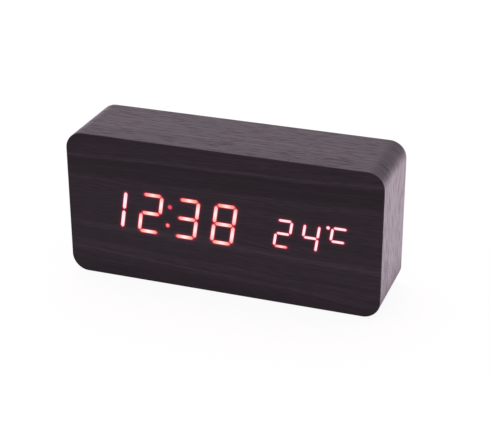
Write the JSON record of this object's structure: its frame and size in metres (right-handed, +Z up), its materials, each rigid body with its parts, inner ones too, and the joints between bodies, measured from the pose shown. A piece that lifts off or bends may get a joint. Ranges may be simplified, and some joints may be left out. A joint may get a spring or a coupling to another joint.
{
  "type": "digital clock",
  "caption": "Block-shaped digital desk clock in black wood-grain film: red segment time and temperature shine through the front; back panel with buttons, power socket and battery bay.",
  "frame": {"origin": "under the middle of the case, on the surface that it stands on", "axes": "+X to the right as seen from the front, +Y from the display towards the back, +Z up"},
  "size_m": [0.15, 0.039, 0.07],
  "materials": {
    "mdf": "raw MDF, matt",
    "black_woodgrain_film": "embossed wood grain, satin",
    "white_reflector_plastic": "moulded, matt",
    "lit_red_resin": "lit, translucent",
    "dark_resin": "unlit, translucent",
    "led_chip": "clear epoxy",
    "green_board": "solder mask",
    "black_epoxy": "moulded",
    "zinc_steel": "zinc plated",
    "black_steel": "black oxide",
    "nickel_contacts": "nickel",
    "white_nylon": "moulded",
    "grey_ribbon": "PVC",
    "capacitor_sleeve": "shrunk sleeve",
    "black_plastic": "fine moulded texture",
    "button_plastic": "satin",
    "cell_sleeve": "printed sleeve over a steel can",
    "black_insulation": "PVC",
    "red_insulation": "PVC"
  },
  "bodies": {
    "clock": {"case_body": "mdf", "side_film": "black_woodgrain_film", "front_film": "black_woodgrain_film", "back_film": "black_woodgrain_film", "display_reflector": "white_reflector_plastic", "hour_tens_segments": "lit_red_resin", "hour_units_segments": "lit_red_resin", "colon_dots": "lit_red_resin", "minute_tens_segments": "lit_red_resin", "minute_units_segments": "lit_red_resin", "temperature_tens_segments": "lit_red_resin", "temperature_units_segments": "lit_red_resin", "degree_c_segments": "lit_red_resin", "dark_segments": "dark_resin", "led_chips": "led_chip", "display_board": "green_board", "control_board": "green_board", "driver_chip": "black_epoxy", "control_chip": "black_epoxy", "display_board_screws": "zinc_steel", "control_board_screws": "zinc_steel", "crystal": "zinc_steel", "microphone": "zinc_steel", "rear_panel_screws": "black_steel", "contact_plates": "nickel_contacts", "battery_springs": "nickel_contacts", "power_jack_pin": "nickel_contacts", "ribbon_sockets": "white_nylon", "ribbon_cable": "grey_ribbon", "capacitor": "capacitor_sleeve", "rear_panel": "black_plastic", "buzzer": "black_plastic", "power_jack": "black_plastic", "switch_bodies": "black_plastic", "thermistor": "black_plastic", "battery_cell_bottom": "cell_sleeve", "battery_cell_middle": "cell_sleeve", "battery_cell_top": "cell_sleeve", "battery_lead_black": "black_insulation", "battery_lead_red": "red_insulation"},
    "set_button_cap": {"set_button": "button_plastic", "set_switch_plunger": "black_plastic"},
    "up_button_cap": {"up_button": "button_plastic", "up_switch_plunger": "black_plastic"},
    "down_button_cap": {"down_button": "button_plastic", "down_switch_plunger": "black_plastic"},
    "door": {"battery_door": "black_plastic"}
  },
  "joints": [
    {"name": "set_press", "type": "slide", "parent": "clock", "child": "set_button_cap", "axis": [0, -1, 0], "range_m": [0, 0.0005], "stiffness_N_per_m": 2000},
    {"name": "up_press", "type": "slide", "parent": "clock", "child": "up_button_cap", "axis": [0, -1, 0], "range_m": [0, 0.0005], "stiffness_N_per_m": 2000},
    {"name": "down_press", "type": "slide", "parent": "clock", "child": "down_button_cap", "axis": [0, -1, 0], "range_m": [0, 0.0005], "stiffness_N_per_m": 2000},
    {"name": "door_hinge", "type": "hinge", "parent": "clock", "child": "door", "pos_m": [-0.03008, 0.0173, 0.01835], "axis": [-1, 0, 0], "range_deg": [0, 90]}
  ]
}
